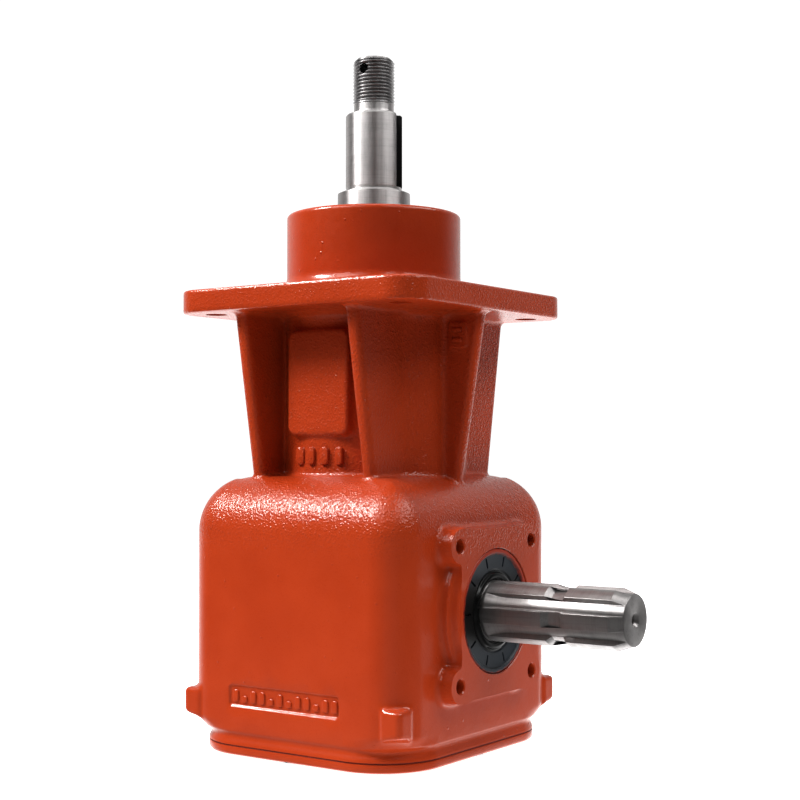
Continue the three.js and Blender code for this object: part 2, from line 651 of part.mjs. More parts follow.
const upright = (piece) => piece;
const { seat, gear, shoulder } = OUTPUT_SHAFT;
const { low, high, width } = OUTPUT_BEARING;
const clipZ = OUTPUT_RING.z;
put("output_shaft", outputShaft(), STEEL);
put("output_pinion", outputPinion(), GEAR_STEEL);
put("output_key", key(gear, 124, 148), STEEL);
put("output_pinion_snap_ring", snapRing(gear - 1.3, 22.6, 117.5, 119.2, 6), BLACK_STEEL);
put("output_spacer_ring", washer(seat + FIT, 28, shoulder + GAP, low - GAP), STEEL);
putBearing("output_lower_bearing", OUTPUT_BEARING, low, upright);
put("output_spacer_sleeve", washer(seat + FIT, 27, low + width + GAP, high - GAP), STEEL);
putBearing("output_upper_bearing", OUTPUT_BEARING, high, upright);
const clipTop = clipZ + OUTPUT_RING.width;
const hubRing = snapRing(OUTPUT_RING.inner, OUTPUT_RING.outer, clipZ, clipTop, 9);
put("output_shaft_snap_ring", snapRing(seat - 1.1, 26, clipZ + 0.1, clipTop, 6), BLACK_STEEL);
put("output_hub_snap_ring", hubRing, BLACK_STEEL);
put("output_seal", outputSeal(), RUBBER);

export default root;
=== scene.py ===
import json
import math
from itertools import product

import bpy
import numpy as np
from mathutils import Matrix, Vector


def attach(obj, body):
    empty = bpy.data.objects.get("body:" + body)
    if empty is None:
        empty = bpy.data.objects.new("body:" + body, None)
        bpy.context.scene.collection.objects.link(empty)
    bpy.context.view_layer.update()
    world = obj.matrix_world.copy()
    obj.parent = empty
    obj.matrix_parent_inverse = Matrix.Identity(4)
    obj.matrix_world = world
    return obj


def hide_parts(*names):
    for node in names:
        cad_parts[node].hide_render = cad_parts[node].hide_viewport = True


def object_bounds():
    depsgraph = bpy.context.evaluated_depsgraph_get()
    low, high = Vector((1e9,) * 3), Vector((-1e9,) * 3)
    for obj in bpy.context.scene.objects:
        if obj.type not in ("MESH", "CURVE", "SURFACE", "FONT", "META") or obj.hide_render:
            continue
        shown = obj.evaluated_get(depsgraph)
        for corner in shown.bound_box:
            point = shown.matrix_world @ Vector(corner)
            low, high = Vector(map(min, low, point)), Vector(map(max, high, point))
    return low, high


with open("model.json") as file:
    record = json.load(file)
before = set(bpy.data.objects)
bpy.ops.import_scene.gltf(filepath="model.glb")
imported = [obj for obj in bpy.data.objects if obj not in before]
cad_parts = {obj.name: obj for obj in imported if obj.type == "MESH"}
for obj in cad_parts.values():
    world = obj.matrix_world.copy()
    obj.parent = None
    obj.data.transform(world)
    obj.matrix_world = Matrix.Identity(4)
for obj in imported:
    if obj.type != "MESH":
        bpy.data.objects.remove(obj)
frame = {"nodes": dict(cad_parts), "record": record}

CAD_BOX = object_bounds()
MM = 0.001
TAU = 2 * math.pi

# ---------------------------------------------------------------- camera
# Fitted to the reference view: azimuth and pitch in degrees, place in metres.
CAMERA_AZIMUTH = 35.22
CAMERA_PITCH = 1.84
CAMERA_PLACE = (0.5488, -0.7495, 0.1776)
CAMERA_LENS = 68.09

azimuth = math.radians(CAMERA_AZIMUTH)
pitch = math.radians(CAMERA_PITCH)
RIGHT = Vector((math.cos(azimuth), math.sin(azimuth), 0))
TOWARD = Vector((math.sin(azimuth), -math.cos(azimuth), 0))
UP = Vector((0, 0, 1))


def make_camera():
    """A camera at the reference view's angle."""
    data = bpy.data.cameras.new("camera")
    data.lens = CAMERA_LENS
    data.sensor_width = 36
    data.clip_start = 0.01
    data.clip_end = 50
    camera = bpy.data.objects.new("camera", data)
    bpy.context.scene.collection.objects.link(camera)
    back = TOWARD * math.cos(pitch) - UP * math.sin(pitch)
    lift = TOWARD * math.sin(pitch) + UP * math.cos(pitch)
    turn = Matrix((RIGHT, lift, back)).transposed().to_4x4()
    camera.matrix_world = Matrix.Translation(CAMERA_PLACE) @ turn
    bpy.context.scene.camera = camera


make_camera()

# ---------------------------------------------------------------- mesh tools


def link(name, mesh):
    """Puts a mesh in the scene under its name."""
    obj = bpy.data.objects.new(name, mesh)
    bpy.context.scene.collection.objects.link(obj)
    return obj


def mesh_object(name, verts, faces):
    """An object from plain lists, with verts in millimetres."""
    mesh = bpy.data.meshes.new(name)
    mesh.from_pydata((np.asarray(verts, float) * MM).tolist(), [], faces)
    mesh.validate()
    return link(name, mesh)


def quad_object(name, verts, quads):
    """An object from arrays: verts in millimetres, four indices to a row of quads."""
    mesh = bpy.data.meshes.new(name)
    mesh.vertices.add(len(verts))
    mesh.vertices.foreach_set("co", (verts * MM).astype(np.float32).ravel())
    mesh.loops.add(quads.size)
    mesh.loops.foreach_set("vertex_index", quads.astype(np.int32).ravel())
    mesh.polygons.add(len(quads))
    mesh.polygons.foreach_set("loop_start", np.arange(0, quads.size, 4, dtype=np.int32))
    mesh.update(calc_edges=True)
    mesh.validate()
    return link(name, mesh)


def bake(obj):
    """Applies every modifier."""
    graph = bpy.context.evaluated_depsgraph_get()
    mesh = bpy.data.meshes.new_from_object(obj.evaluated_get(graph))
    obj.modifiers.clear()
    swap_mesh(obj, mesh)
    return obj


def swap_mesh(obj, mesh):
    """Gives an object a new mesh and deletes its old one."""
    old = obj.data
    obj.data = mesh
    bpy.data.meshes.remove(old)


def wear(obj, *materials):
    """Gives an object these materials and no others."""
    obj.data.materials.clear()
    for material in materials:
        obj.data.materials.append(material)


def drop(obj):
    """Deletes an object with its mesh."""
    mesh = obj.data
    bpy.data.objects.remove(obj)
    bpy.data.meshes.remove(mesh)


def boolean(obj, cutter):
    """Cuts with a closed mesh, then removes the cutter."""
    before = len(obj.data.polygons)
    for solver in ("MANIFOLD", "EXACT"):
        mod = obj.modifiers.new("cut", "BOOLEAN")
        mod.operation = "DIFFERENCE"
        mod.solver = solver
        mod.object = cutter
        graph = bpy.context.evaluated_depsgraph_get()
        mesh = bpy.data.meshes.new_from_object(obj.evaluated_get(graph))
        obj.modifiers.clear()
        if len(mesh.polygons) > 4 and len(mesh.polygons) != before:
            swap_mesh(obj, mesh)
            break
        bpy.data.meshes.remove(mesh)
    else:
        raise RuntimeError("cut failed: " + obj.name + " by " + cutter.name)
    drop(cutter)
    return obj


def shade(obj, angle=30):
    """Smooth shading, with edges sharper than the angle kept crisp."""
    obj.data.shade_smooth()
    obj.data.set_sharp_from_angle(angle=math.radians(angle))
    return obj


AXES = {
    "z": lambda r, h, c, s: (r * c, r * s, h),
    "x": lambda r, h, c, s: (h, r * c, r * s),
    "y": lambda r, h, c, s: (r * s, h, r * c),
}


def lathe(name, rings, closed=False, at=(0, 0, 0)):
    """Skins a stack of point rings; a ring of one point is a pole."""
    sides = max(len(ring) for ring in rings)
    starts = np.cumsum([0] + [len(ring) for ring in rings])
    pairs = list(zip(range(len(rings)), range(1, len(rings))))
    if closed:
        pairs.append((len(rings) - 1, 0))
    faces = []
    for low, high in pairs:
        a, b = int(starts[low]), int(starts[high])
        for i in range(sides):
            j = (i + 1) % sides
            if len(rings[low]) == 1:
                faces.append((a, b + j, b + i))
            elif len(rings[high]) == 1:
                faces.append((a + i, a + j, b))
            else:
                faces.append((a + i, a + j, b + j, b + i))
    verts = [point for ring in rings for point in ring]
    return mesh_object(name, np.asarray(verts) + np.asarray(at, float), faces)


def profile_rings(profile, sides, place):
    """One ring for each (radius, height) pair; a zero radius gives a pole."""
    turns = [(math.cos(TAU * i / sides), math.sin(TAU * i / sides)) for i in range(sides)]
    pole = 1e-6
    return [[place(r, h, c, s) for c, s in (turns if r > pole else [(1, 0)])] for r, h in profile]


def spin(name, profile, sides=64, axis="z", at=(0, 0, 0)):
    """A turned solid from (radius, height) pairs, given upwards along its outside.
    A profile that never meets the axis closes on itself."""
    rings = profile_rings(profile, sides, AXES[axis])
    return lathe(name, rings, len(rings[0]) > 1, at)


def flipped(profile):
    """The same turned profile on the other side of the origin."""
    return [(r, -h) for r, h in reversed(profile)]


def eased(points, radii, steps=4):
    """Rounds the corners of an open polyline. radii: one number, or one for each point."""
    if not hasattr(radii, "__len__"):
        radii = [radii] * len(points)
    out = [points[0]]
    for i in range(1, len(points) - 1):
        a, b, c = (np.asarray(points[i + k], float) for k in (-1, 0, 1))
        r = radii[i]
        if not r:
            out.append(tuple(b))
            continue
        u, v = a - b, c - b
        lu, lv = np.linalg.norm(u), np.linalg.norm(v)
        u, v = u / lu, v / lv
        half = math.acos(max(-1, min(1, float(u @ v)))) / 2
        if half > math.radians(88):
            out.append(tuple(b))
            continue
        reach = min(r / math.tan(half), lu * 0.48, lv * 0.48)
        r = reach * math.tan(half)
        mid = b + (u + v) / np.linalg.norm(u + v) * (r / math.sin(half))
        start, end = b + u * reach, b + v * reach
        a0 = math.atan2(*(start - mid)[::-1])
        a1 = math.atan2(*(end - mid)[::-1])
        swing = (a1 - a0 + math.pi) % TAU - math.pi
        for k in range(steps + 1):
            a = a0 + swing * k / steps
            out.append((mid[0] + r * math.cos(a), mid[1] + r * math.sin(a)))
    out.append(points[-1])
    return [(float(p[0]), float(p[1])) for p in out]


def rect_path(hx, hy, r, steps=14):
    """Points and outward normals of a rounded rectangle."""
    points, normals = [], []
    for sx, sy, start in ((1, 1, 0), (-1, 1, 1), (-1, -1, 2), (1, -1, 3)):
        for k in range(steps + 1):
            a = (start + k / steps) * math.pi / 2
            n = (math.cos(a), math.sin(a))
            points.append((sx * (hx - r) + r * n[0], sy * (hy - r) + r * n[1]))
            normals.append(n)
    return np.asarray(points), np.asarray(normals)


def swept(name, path, profile, centre=(0, 0, 0), turn=None):
    """A slab whose edge follows (inset, height) pairs along a closed path."""
    points, normals = path
    n = len(points)
    rings = [np.column_stack([points - normals * inset, np.full(n, height)]) for inset, height in profile]
    verts = np.concatenate(rings)
    if turn is not None:
        verts = verts @ np.asarray(turn, float)
    verts = verts + np.asarray(centre, float)
    faces = [tuple(range(n))[::-1], tuple(range((len(profile) - 1) * n, len(profile) * n))]
    for k in range(len(profile) - 1):
        for i in range(n):
            j = (i + 1) % n
            faces.append((k * n + i, k * n + j, (k + 1) * n + j, (k + 1) * n + i))
    return mesh_object(name, verts, faces)


def joined(name, objects):
    """Several closed meshes as one object; they may not overlap."""
    verts, faces, base = [], [], 0
    for obj in objects:
        verts += [tuple(v.co / MM) for v in obj.data.vertices]
        faces += [tuple(i + base for i in p.vertices) for p in obj.data.polygons]
        base = len(verts)
        drop(obj)
    return mesh_object(name, verts, faces)


# ---------------------------------------------------------------- distance fields
# All lengths in millimetres. Negative is inside.


def hypot(*parts):
    """Length of a vector given by its parts, array by array."""
    return np.sqrt(sum(p * p for p in parts))


def blend_min(a, b, k):
    """Union of two fields with a soft join about k wide."""
    h = np.maximum(k - np.abs(a - b), 0) / k
    return np.minimum(a, b) - h * h * k * 0.25


def blend_max(a, b, k):
    """Intersection of two fields with a soft edge about k wide."""
    return -blend_min(-a, -b, k)


def round_max(a, b, r):
    """Intersection of two fields with a round edge of radius r."""
    return np.minimum(-r, np.maximum(a, b)) + hypot(np.maximum(r + a, 0), np.maximum(r + b, 0))


def round_min(a, b, r):
    """Union of two fields with a round fillet of radius r."""
    return -round_max(-a, -b, r)


def ramp(x, a, b):
    """A smooth step from 0 at a to 1 at b."""
    t = np.clip((x - a) / (b - a), 0, 1)
    return t * t * (3 - 2 * t)


def rect(x, y, hx, hy, r):
    """Distance to a rounded rectangle of half sizes hx and hy."""
    qx, qy = np.abs(x) - hx + r, np.abs(y) - hy + r
    inner = np.minimum(blend_max(qx, qy, min(r, 9)), 0)
    return hypot(np.maximum(qx, 0), np.maximum(qy, 0)) + inner - r


# Driving sizes of the casting. The case is centred on the output axis, and Z starts at its foot.
INPUT_Z = 84
CASE_X, CASE_Y, CASE_TOP = 78.75, 84.4, 161.4
CASE_CORNER, SUMP_CORNER, CASE_ROLL = 22, 38, 33
SEAM = 6.1
LUG_X, LUG_Y, LUG_LOW, LUG_TOP = 78.7, 84.35, 19.4, 36.2
PAD_FACE, PAD_Y, PAD_Z = 88.6, 37.6, 48
BOSS_R, BOSS_FACE, NOSE_R = 45.8, 83.9, 41.6
HOLE_SQUARE = 38.9
TUBE_R = 54.5
RIB_X, RIB_HALF = 40.75, 4.2
RIB_SIDE, RIB_END = (62, 0.17526), (64, 0.16495)  # reach at the case's top, growth for each mm up
PANEL_Z, PANEL_X, PANEL_TALL, PANEL_FACE = 216.3, 22.3, 31, 56.6
TAG_X, TAG_Z, TAG_FACE = 64.5, 244.5, 5.5
FLANGE = (258.4, 272.2)
FLANGE_HALF, FLANGE_CORNER, FLANGE_HOLE = 87.6, 19, 68
HUB_R, HUB_TOP = 53.3, 320.4
PORT_X, PORTS_Z, PORT_FACE = -38, (84, 40), 87.2
PLATE_Z, PLATE_DEPTH = 34.6, 1.15
SCREWS = [
    (61.6, 67.2), (-61.6, 67.2), (-61.6, -67.2), (61.6, -67.2),
    (72.3, 0), (-72.3, 0), (0, 78), (0, -78),
]


def field_box(x, y, z):
    """The lower case: rolled top, soft cove above the seam, tapering corners."""
    sump = rect(x, y, CASE_X, CASE_Y, SUMP_CORNER)
    case = rect(x, y, CASE_X, CASE_Y, CASE_CORNER)
    t = ramp(z, 10, 21)
    wall = sump * (1 - t) + case * t
    cove = 1.5 * ramp(z, 14.6, 11.6) * ramp(z, 6.4, 11)
    return round_max(wall + cove, z - CASE_TOP, CASE_ROLL)


def field_lugs(ax, ay, z):
    """Square fillers on the four upright corners, with an almost level underside."""
    corner = blend_max(ax - LUG_X, ay - LUG_Y, 4)
    corner = blend_max(corner, z - LUG_TOP, 3)
    along = (ax + ay) * math.sqrt(0.5)
    shelf = LUG_LOW + (along - 106) * 0.25 - z
    corner = blend_max(corner, shelf * 0.97, 2.5)
    return blend_max(corner, blend_max(66.2 - ax, 71.6 - ay, 2), 2)


def field_pad(ax, y, z):
    """Square bearing pad with round ears, drafted sides and the boss behind its waist."""
    w = z - INPUT_Z
    ay, aw = np.abs(y), np.abs(w)
    plate = rect(y, w, PAD_Y, PAD_Z, 3)
    ears = rect(ay - 36, aw - HOLE_SQUARE, 12.3, 9.6, 9.5)
    flat = blend_min(plate, ears, 3.5) - (PAD_FACE - ax) * 0.09
    pad = np.maximum(flat, ax - PAD_FACE - 1.5)
    spoke = hypot(y, w)
    boss = blend_max(spoke - BOSS_R - (84 - ax) * 0.12, ax - BOSS_FACE, 1.2)
    nose = blend_max(spoke - NOSE_R - (88 - ax) * 0.35, ax - PAD_FACE + 0.4, 1)
    pad = blend_min(pad, blend_min(boss, nose, 1.4), 2)
    return np.maximum(pad, 66 - ax)


def field_neck(x, y, z):
    """Tube, ribs, panel and tag between the case and the flange."""
    ax, ay = np.abs(x), np.abs(y)
    tube = hypot(x, y) - TUBE_R
    rise = z - CASE_TOP
    side_edge = (ay - RIB_SIDE[0] - rise * RIB_SIDE[1]) / math.hypot(1, RIB_SIDE[1])
    end_edge = (ax - RIB_END[0] - rise * RIB_END[1]) / math.hypot(1, RIB_END[1])
    pair = blend_max(np.abs(ax - RIB_X) - RIB_HALF + side_edge * 0.012, side_edge, 4)
    end = blend_max(ay - 4.4 + end_edge * 0.012, end_edge, 4)
    ribs = np.minimum(np.maximum(pair, 22 - ay), np.maximum(end, 30 - ax))
    panel = rect(x, z - PANEL_Z, PANEL_X, PANEL_TALL, 5.5) + (56.5 + y) * -0.02
    panel = blend_max(panel, -PANEL_FACE - y, 2.6)
    panel = np.maximum(panel, y + 30)
    tag = rect(x - TAG_X, z - TAG_Z, 6.6, 7.6, 2)
    tag = np.maximum(blend_max(tag, -TAG_FACE - y, 1), y)
    return round_min(blend_min(tube, panel, 3), blend_min(ribs, tag, 1), 3)


def field_top(x, y, z):
    """Square flange and round hub."""
    low, high = FLANGE
    plate = rect(x, y, FLANGE_HALF, FLANGE_HALF, FLANGE_CORNER)
    plate = round_max(plate, np.abs(z - (low + high) / 2) - (high - low) / 2, 1.7)
    hub = round_max(hypot(x, y) - HUB_R, z - HUB_TOP, 2.4)
    hub = np.maximum(hub, low + 2 - z)
    return plate, hub


def field_plugs(x, y, z):
    """Round bosses for the oil plugs on the far wall."""
    reach = [hypot(x - PORT_X, z - port) for port in PORTS_Z]
    boss = np.minimum(*reach) - 15
    return np.maximum(round_max(boss - (87 - y) * 0.08, y - PORT_FACE, 1.2), 76 - y)


def field_hollow(x, y, z):
    """The oil space inside the case."""
    top = round_max(rect(x, y, 70, 76, 16), z - 152.4, 25)
    top = np.maximum(top, 20 - z)
    sump = np.maximum(rect(x, y, 66, 72, 30), z - 21)
    return blend_min(top, sump, 3)


def field_casting(x, y, z):
    """The whole casting: every part above, joined with its fillets, and hollowed."""
    ax, ay = np.abs(x), np.abs(y)
    body = blend_min(field_box(x, y, z), field_lugs(ax, ay, z), 3)
    body = round_min(body, field_pad(ax, y, z), 3)
    body = round_min(body, field_plugs(x, y, z), 3)
    neck = np.maximum(np.maximum(field_neck(x, y, z), 140 - z), z - 262)
    body = round_min(body, neck, 3)
    plate, hub = field_top(x, y, z)
    body = round_min(body, plate, 3.4)
    body = round_min(body, hub, 10)
    body = blend_max(body, -field_hollow(x, y, z), 1.5)
    spoke = hypot(y, z - INPUT_Z)
    seats = np.maximum(np.maximum(spoke - 44, 52 - ax), ax - 75)
    body = blend_min(body, seats, 2)
    return np.maximum(body, 4 - z)


def field_grid(field, low, high, step):
    """The field's values on a grid, filled slab by slab to save memory."""
    low, high = np.asarray(low, float), np.asarray(high, float)
    count = np.ceil((high - low) / step).astype(int) + 1
    x, y, z = (low[k] + step * np.arange(count[k]) for k in range(3))
    values = np.empty(tuple(count), np.float32)
    slab = 24
    for k in range(0, count[2], slab):
        values[:, :, k:k + slab] = field(x[:, None, None], y[None, :, None], z[None, None, k:k + slab])
    return values, low


def surface_net(field, low, high, step):
    """A quad mesh of the field's zero surface, pulled onto it."""
    values, low = field_grid(field, low, high, step)
    inside = values < 0
    shape = np.array(values.shape) - 1
    count = np.zeros(tuple(shape), np.uint8)
    for i, j, k in product((0, 1), repeat=3):
        count += inside[i:shape[0] + i, j:shape[1] + j, k:shape[2] + k]
    active = (count > 0) & (count < 8)
    cells = np.argwhere(active)
    index = np.full(tuple(shape), -1, np.int32)
    index[active] = np.arange(len(cells), dtype=np.int32)
    verts = low + step * (cells + cell_points(values, cells))
    quads = [crossing_quads(inside, index, axis) for axis in range(3)]
    return pulled(field, verts, step), np.concatenate(quads)


def cell_points(values, cells):
    """In each cell, the mean of the points where the surface cuts its edges."""
    total, hits = np.zeros((len(cells), 3)), np.zeros(len(cells))
    for axis in range(3):
        u, v = [k for k in range(3) if k != axis]
        for a, b in product((0, 1), repeat=2):
            corner = np.zeros(3, int)
            corner[u], corner[v] = a, b
            ahead = corner.copy()
            ahead[axis] = 1
            d0 = values[tuple((cells + corner).T)]
            d1 = values[tuple((cells + ahead).T)]
            cross = (d0 < 0) != (d1 < 0)
            t = np.where(cross, d0 / np.where(cross, d0 - d1, 1), 0)
            spot = np.tile(corner.astype(float), (len(cells), 1))
            spot[:, axis] = t
            total += spot * cross[:, None]
            hits += cross
    return total / hits[:, None]


def crossing_quads(inside, index, axis):
    """One quad round each grid edge along an axis that the surface cuts, facing out."""
    shape = index.shape
    u, v = (axis + 1) % 3, (axis + 2) % 3
    near = np.take(inside, range(inside.shape[axis] - 1), axis)
    far = np.take(inside, range(1, inside.shape[axis]), axis)
    edges = np.argwhere(near != far)
    edges = edges[(edges[:, u] > 0) & (edges[:, v] > 0)]
    edges = edges[(edges[:, u] < shape[u]) & (edges[:, v] < shape[v])]
    eu, ev = np.eye(3, dtype=int)[u], np.eye(3, dtype=int)[v]
    ring = [index[tuple((edges - a * eu - b * ev).T)] for a, b in ((1, 1), (0, 1), (0, 0), (1, 0))]
    quad = np.column_stack(ring)
    flip = ~near[tuple(edges.T)]
    quad[flip] = quad[flip][:, ::-1]
    return quad


def slope(field, verts, eps=0.06):
    """The field's gradient, by central differences."""
    parts = []
    for k in range(3):
        step = np.zeros(3)
        step[k] = eps
        parts.append((field(*(verts + step).T) - field(*(verts - step).T)) / (2 * eps))
    return np.column_stack(parts)


def pulled(field, verts, step):
    """Moves points onto the zero surface, but never past 0.7 of a grid step."""
    start = verts.copy()
    for _ in range(3):
        d = field(*verts.T)
        g = slope(field, verts)
        move = g * (d / np.maximum((g * g).sum(1), 1e-3))[:, None]
        verts = verts - move
        gone = verts - start
        far = np.linalg.norm(gone, axis=1)
        verts = start + gone * np.minimum(1, 0.7 * step / np.maximum(far, 1e-9))[:, None]
    return verts


# ---------------------------------------------------------------- materials


PAINT_TONES = ((0.375, 0.045, 0.0090, 1), (0.405, 0.051, 0.0110, 1))
PAINT_PIT = (0.27, 0.018, 0.003, 1)
OVERSPRAY = (0.34, 0.028, 0.0045, 1)


def lin(r, g, b):
    """sRGB 0-255 to linear RGBA."""
    out = []
    for c in (r, g, b):
        c /= 255
        out.append(c / 12.92 if c <= 0.04045 else ((c + 0.055) / 1.055) ** 2.4)
    return (*out, 1)


class Nodes:
    """Shorthands for one material's node tree."""

    def __init__(self, name):
        self.material = bpy.data.materials.new(name)
        self.material.use_nodes = True
        self.tree = self.material.node_tree
        self.shader = self.tree.nodes["Principled BSDF"]
        self.coords = self.tree.nodes.new("ShaderNodeTexCoord").outputs["Object"]

    def put(self, socket, value):
        if isinstance(value, bpy.types.NodeSocket):
            self.tree.links.new(value, socket)
        else:
            socket.default_value = value

    def scaled(self, x, y, z):
        node = self.tree.nodes.new("ShaderNodeMapping")
        self.put(node.inputs["Vector"], self.coords)
        node.inputs["Scale"].default_value = (x, y, z)
        return node.outputs[0]

    def noise(self, scale, detail=2, rough=0.5, vector=None):
        node = self.tree.nodes.new("ShaderNodeTexNoise")
        self.put(node.inputs["Vector"], vector or self.coords)
        node.inputs["Scale"].default_value = scale
        node.inputs["Detail"].default_value = detail
        node.inputs["Roughness"].default_value = rough
        return node.outputs["Fac"]

    def cells(self, scale):
        node = self.tree.nodes.new("ShaderNodeTexVoronoi")
        self.put(node.inputs["Vector"], self.coords)
        node.inputs["Scale"].default_value = scale
        return node.outputs["Distance"]

    def span(self, value, a, b, c=0.0, d=1.0, smooth=True):
        node = self.tree.nodes.new("ShaderNodeMapRange")
        node.interpolation_type = "SMOOTHSTEP" if smooth else "LINEAR"
        items = {"Value": value, "From Min": a, "From Max": b, "To Min": c, "To Max": d}
        for key, item in items.items():
            self.put(node.inputs[key], item)
        return node.outputs[0]

    def math(self, how, a, b=0.0, clamp=False):
        node = self.tree.nodes.new("ShaderNodeMath")
        node.operation = how
        node.use_clamp = clamp
        self.put(node.inputs[0], a)
        self.put(node.inputs[1], b)
        return node.outputs[0]

    def mix(self, factor, a, b):
        node = self.tree.nodes.new("ShaderNodeMix")
        node.data_type = "RGBA"
        self.put(node.inputs["Factor"], factor)
        self.put(node.inputs["A"], a)
        self.put(node.inputs["B"], b)
        return node.outputs["Result"]

    def bump(self, height, distance, strength=1.0, normal=None):
        node = self.tree.nodes.new("ShaderNodeBump")
        node.inputs["Strength"].default_value = strength
        node.inputs["Distance"].default_value = distance
        self.put(node.inputs["Height"], height)
        if normal:
            self.put(node.inputs["Normal"], normal)
        return node.outputs[0]

    def split(self):
        node = self.tree.nodes.new("ShaderNodeSeparateXYZ")
        self.put(node.inputs[0], self.coords)
        return node.outputs

    def set(self, **values):
        for key, value in values.items():
            self.put(self.shader.inputs[key.replace("_", " ")], value)
        return self.material


def paint_material():
    """Gloss enamel over sand-cast iron: pebbled roll and neck, smoother walls, flange and hub."""
    m = Nodes("cast_paint")
    _, _, z = m.split()
    cast = m.math("MINIMUM", m.span(z, 0.108, 0.134, 0.13, 1.0), m.span(z, 0.252, 0.258, 1.0, 0.7))
    cast = m.math("MINIMUM", cast, m.span(z, 0.2722, 0.275, 1.0, 0.1))
    pebble = m.math("ADD", m.noise(560, 3, 0.6), m.span(m.cells(620), 0.0, 0.6, 0.5, 0.0))
    dents = m.noise(110, 2, 0.5)
    pimple = m.span(m.cells(210), 0.0, 0.22, 1.0, 0.0)
    pimple = m.math("MULTIPLY", pimple, m.span(m.noise(80, 1), 0.56, 0.66))
    patch = m.span(m.noise(30, 3), 0.3, 0.7)
    tone = m.mix(patch, *PAINT_TONES)
    pits = m.span(m.noise(1100, 2, 0.7), 0.56, 0.76, 0, 0.35)
    color = m.mix(pits, tone, PAINT_PIT)
    rough = m.span(m.noise(240, 3), 0.3, 0.7, 0.34, 0.46)
    normal = m.bump(dents, 0.0007, 0.16)
    normal = m.bump(m.math("MULTIPLY", pebble, cast), 0.00046, 0.8, normal)
    normal = m.bump(pimple, 0.0004, 0.7, normal)
    gloss = {"Coat_Weight": 0.75, "Coat_Roughness": 0.14, "Coat_Normal": normal}
    return m.set(Base_Color=color, Roughness=rough, Normal=normal, Specular_IOR_Level=0.1, **gloss)


def machined_material(name, axis, tone, rough, stained=0.3, metallic=0.95):
    """Ground steel: satin, with fine rings round its axis, faint streaks and a little staining."""
    m = Nodes(name)
    around = {"x": (1, 0.02, 0.02), "z": (0.02, 0.02, 1)}[axis]
    length = {"x": (0.03, 1, 1), "z": (1, 1, 0.03)}[axis]
    rings = m.noise(2600, 2, 0.6, m.scaled(*around))
    streaks = m.noise(900, 3, 0.6, m.scaled(*length))
    spots = m.span(m.noise(85, 3, 0.6), 0.45, 0.75, 0, stained)
    stain = m.math("ADD", spots, m.span(streaks, 0.5, 0.75, 0, 0.35))
    stain = m.math("ADD", stain, m.span(rings, 0.5, 0.7, 0, 0.25), True)
    color = m.mix(stain, lin(*tone), lin(*(c * 0.7 for c in tone)))
    grey = m.span(m.noise(300, 2), 0.3, 0.7, rough[0], rough[1])
    turn = m.tree.nodes.new("ShaderNodeTangent")
    turn.direction_type = "RADIAL"
    turn.axis = axis.upper()
    brushed = {"Tangent": turn.outputs[0], "Anisotropic": 0.85, "Anisotropic_Rotation": 0.25}
    normal = m.bump(rings, 0.000008, 0.1)
    return m.set(Base_Color=color, Metallic=metallic, Roughness=grey, Normal=normal, **brushed)


def seal_material():
    """Black rubber face with red overspray on its rim, and painted shade: black level with the shaft,
    lighter grey-blue above and below it.
    """
    m = Nodes("seal_face")
    _, y, z = m.split()
    rise = m.math("SUBTRACT", z, INPUT_Z * MM)
    spoke = m.math("SQRT", m.math("ADD", m.math("MULTIPLY", y, y), m.math("MULTIPLY", rise, rise)))
    lean = m.math("ADD", m.math("MULTIPLY", rise, 0.035), m.math("MULTIPLY", y, 0.02))
    edge = m.math("ADD", m.math("ADD", spoke, lean), m.span(m.noise(260, 3), 0.3, 0.7, -0.0004, 0.0004))
    paint = m.span(edge, 0.0331, 0.0352)
    # Painted shade: the face is black level with the shaft and painted lighter grey-blue above and below
    # it.
    painted_shade_ramp = m.span(m.math("ABSOLUTE", rise), 0.012, 0.026)
    rubber = m.mix(painted_shade_ramp, lin(10, 9, 9), lin(43, 49, 56))
    rubber = m.mix(m.span(spoke, 0.0225, 0.0245), lin(9, 9, 9), rubber)
    color = m.mix(paint, rubber, OVERSPRAY)
    rough = m.span(spoke, 0.0225, 0.0245, 0.16, 0.4)
    normal = m.bump(m.noise(1300, 3), 0.0001, 0.2)
    return m.set(Base_Color=color, Roughness=rough, Normal=normal, Specular_IOR_Level=0.45)


def dark_steel_material():
    """Blackened steel of screws and rings."""
    m = Nodes("black_steel")
    tone = m.mix(m.noise(220, 3), lin(34, 34, 37), lin(58, 57, 60))
    rough = m.span(m.noise(600, 2), 0.3, 0.7, 0.35, 0.55)
    normal = m.bump(m.noise(900, 2), 0.0001, 0.3)
    return m.set(Base_Color=tone, Metallic=0.9, Roughness=rough, Normal=normal)


def bearing_material():
    """Bright, polished bearing rings and balls."""
    m = Nodes("bearing_steel")
    tone = m.mix(m.noise(60, 2), lin(196, 197, 200), lin(214, 214, 216))
    rough = m.span(m.noise(900, 2), 0.3, 0.7, 0.12, 0.24)
    return m.set(Base_Color=tone, Metallic=1.0, Roughness=rough)


def gear_material():
    """Cut steel of the gears, greyed by heat treatment and oil."""
    m = Nodes("gear_steel")
    tone = m.mix(m.span(m.noise(140, 4), 0.35, 0.7), lin(120, 118, 116), lin(84, 82, 81))
    rough = m.span(m.noise(700, 3), 0.3, 0.7, 0.3, 0.5)
    normal = m.bump(m.noise(1100, 2), 0.0001, 0.3)
    return m.set(Base_Color=tone, Metallic=1.0, Roughness=rough, Normal=normal)


def rubber_material():
    """Black rubber of the plain seals and the end cap."""
    m = Nodes("seal_rubber")
    tone = m.mix(m.span(m.noise(120, 4), 0.35, 0.7), lin(18, 18, 20), lin(27, 27, 29))
    rough = m.span(m.noise(500, 3), 0.3, 0.7, 0.35, 0.5)
    return m.set(Base_Color=tone, Roughness=rough, Normal=m.bump(m.noise(1500, 3), 0.0001, 0.3))


